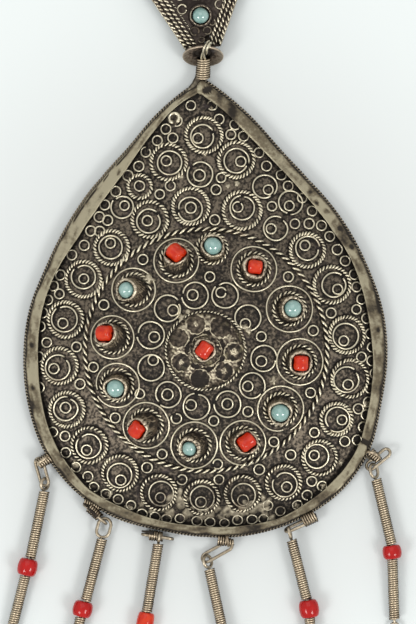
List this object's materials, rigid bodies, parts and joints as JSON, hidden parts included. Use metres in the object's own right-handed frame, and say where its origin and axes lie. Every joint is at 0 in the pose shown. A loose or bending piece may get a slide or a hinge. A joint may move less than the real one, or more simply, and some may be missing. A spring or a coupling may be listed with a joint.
{
  "type": "fibula brooch",
  "caption": "Silver filigree fibula brooch: a triangular pin head carries a domed teardrop plaque set with coral and turquoise, with wire-wound dangles and red beads.",
  "frame": {"origin": "on the back face of the teardrop plaque, under the middle of its boss", "axes": "+Z out of the face, +Y along the brooch towards its triangular head, +X to the right seen from the front"},
  "size_m": [0.1001, 0.2188, 0.02],
  "materials": {
    "silver": "old silver, worn and lightly tarnished",
    "dark_silver": "old silver, oxidised dark",
    "bronze": "dull brown copper alloy",
    "coral": "polished coral",
    "turquoise": "polished pale turquoise",
    "red_glass": "glossy red glass"
  },
  "bodies": {
    "root": {"head_plate": "dark_silver", "head_stone_1": "turquoise", "head_stone_2": "turquoise", "head_stone_3": "turquoise", "head_stone_4": "coral", "back_pin": "silver", "collar_disc": "bronze", "hanger": "silver", "rim_band": "silver", "front_plate": "dark_silver", "back_plate": "dark_silver", "stone_1": "turquoise", "stone_2": "coral", "stone_3": "turquoise", "stone_4": "coral", "stone_5": "turquoise", "stone_6": "coral", "stone_7": "turquoise", "stone_8": "coral", "stone_9": "turquoise", "stone_10": "coral", "stone_11": "turquoise", "stone_12": "coral", "centre_stone": "coral", "link_1": "silver", "wire_1": "silver", "upper_tube_1": "silver", "bead_1": "red_glass", "lower_tube_1": "silver", "link_2": "silver", "wire_2": "silver", "upper_tube_2": "silver", "bead_2": "red_glass", "lower_tube_2": "silver", "link_3": "silver", "wire_3": "silver", "upper_tube_3": "silver", "bead_3": "coral", "lower_tube_3": "silver", "link_4": "silver", "wire_4": "silver", "upper_tube_4": "silver", "bead_4": "red_glass", "lower_tube_4": "silver", "link_5": "silver", "wire_5": "silver", "upper_tube_5": "silver", "bead_5": "red_glass", "lower_tube_5": "silver", "link_6": "silver", "wire_6": "silver", "upper_tube_6": "silver", "bead_6": "red_glass", "lower_tube_6": "silver"}
  },
  "joints": []
}
